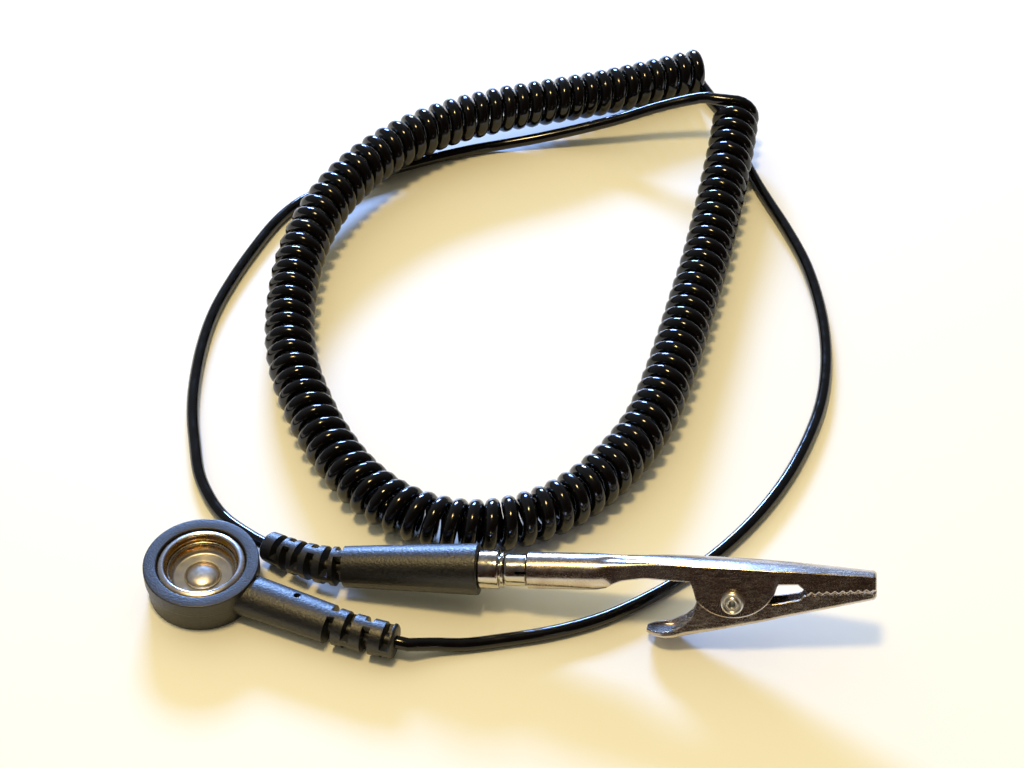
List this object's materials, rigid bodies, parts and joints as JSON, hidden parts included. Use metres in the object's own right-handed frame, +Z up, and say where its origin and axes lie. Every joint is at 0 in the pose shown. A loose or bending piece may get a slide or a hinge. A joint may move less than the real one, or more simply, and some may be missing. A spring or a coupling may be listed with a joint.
{
  "type": "coiled grounding cord",
  "caption": "Coiled static-discharge ground cord: a 10 mm snap socket head with an inner resistor, a curly cord, and a banana plug with a push-on alligator clip.",
  "frame": {"origin": "centre of the snap head's underside, on the table", "axes": "+X along the plug and the clip, +Y from them into the loop of the coil, +Z up"},
  "size_m": [0.1062, 0.1385, 0.0132],
  "materials": {
    "black_moulding": "matt moulded, finely grained",
    "black_pvc": "gloss",
    "nickel": "bright nickel plate",
    "spring_steel": "drawn wire",
    "brass": "stamped",
    "copper": "tinned",
    "resistor_paint": "painted"
  },
  "bodies": {
    "cord_body": {"snap_housing": "black_moulding", "snap_back_cap": "black_moulding", "snap_socket_cup": "nickel", "snap_retaining_ring": "spring_steel", "snap_rivet": "nickel", "contact_tag": "brass", "series_resistor": "resistor_paint", "crimp_sleeve": "copper", "snap_end_conductor": "copper", "snap_end_sheath": "black_pvc", "cord_snap_side": "black_pvc", "cord_coil": "black_pvc", "cord_plug_side": "black_pvc", "plug_end_sheath": "black_pvc", "plug_end_conductor": "copper", "plug_grip": "black_moulding", "plug_pin": "nickel"},
    "spring_cage": {"plug_spring_cage": "nickel"},
    "clip_body": {"clip_upper_jaw": "nickel", "clip_rivet": "nickel", "clip_spring": "spring_steel"},
    "lower_jaw": {"clip_lower_jaw": "nickel"}
  },
  "joints": [
    {"name": "cage_turn", "type": "hinge", "parent": "cord_body", "child": "spring_cage", "pos_m": [0.04785, -0.00275, 0.00713], "axis": [-0.9874, 0.116, -0.108], "range_deg": [0, 150]},
    {"name": "clip_pull_off", "type": "slide", "parent": "spring_cage", "child": "clip_body", "axis": [0.9874, -0.116, 0.108], "range_m": [0, 0.012]},
    {"name": "jaw_open", "type": "hinge", "parent": "clip_body", "child": "lower_jaw", "pos_m": [0.07709, -0.00779, 0.00756], "axis": [0.1547, 0.8538, -0.4971], "range_deg": [0, 22], "stiffness_Nm_per_rad": 0.03, "springref_deg": -11.46, "deforming": ["clip_spring"]}
  ]
}
